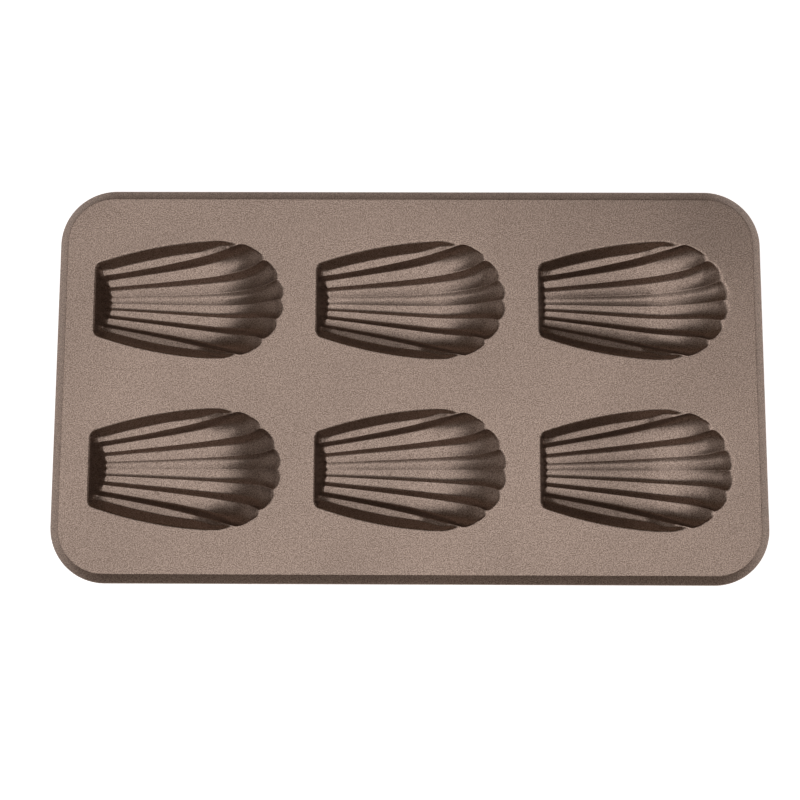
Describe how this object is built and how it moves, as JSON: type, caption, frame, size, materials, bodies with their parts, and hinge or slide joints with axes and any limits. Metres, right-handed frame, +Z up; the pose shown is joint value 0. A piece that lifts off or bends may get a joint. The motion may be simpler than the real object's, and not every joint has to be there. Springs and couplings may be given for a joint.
{
  "type": "madeleine pan",
  "caption": "Pressed sheet-steel baking pan: a flat rounded deck with rows of fluted shell-shaped cups and a flared rim, for baking small shell cakes.",
  "frame": {"origin": "under the middle of the pan, at the level of the lowest point of the cups", "axes": "+Z up, out of the cups; +X from the narrow hinge ends of the shells to their scalloped lips; Y across the pan"},
  "size_m": [0.28, 0.156, 0.0149],
  "materials": {
    "coated_steel": "satin champagne-brown non-stick coating with a fine metallic grain"
  },
  "bodies": {
    "root": {"deck_plate": "coated_steel", "rim_flange": "coated_steel", "shell_cup_left_front": "coated_steel", "shell_cup_left_back": "coated_steel", "shell_cup_middle_front": "coated_steel", "shell_cup_middle_back": "coated_steel", "shell_cup_right_front": "coated_steel", "shell_cup_right_back": "coated_steel"}
  },
  "joints": []
}
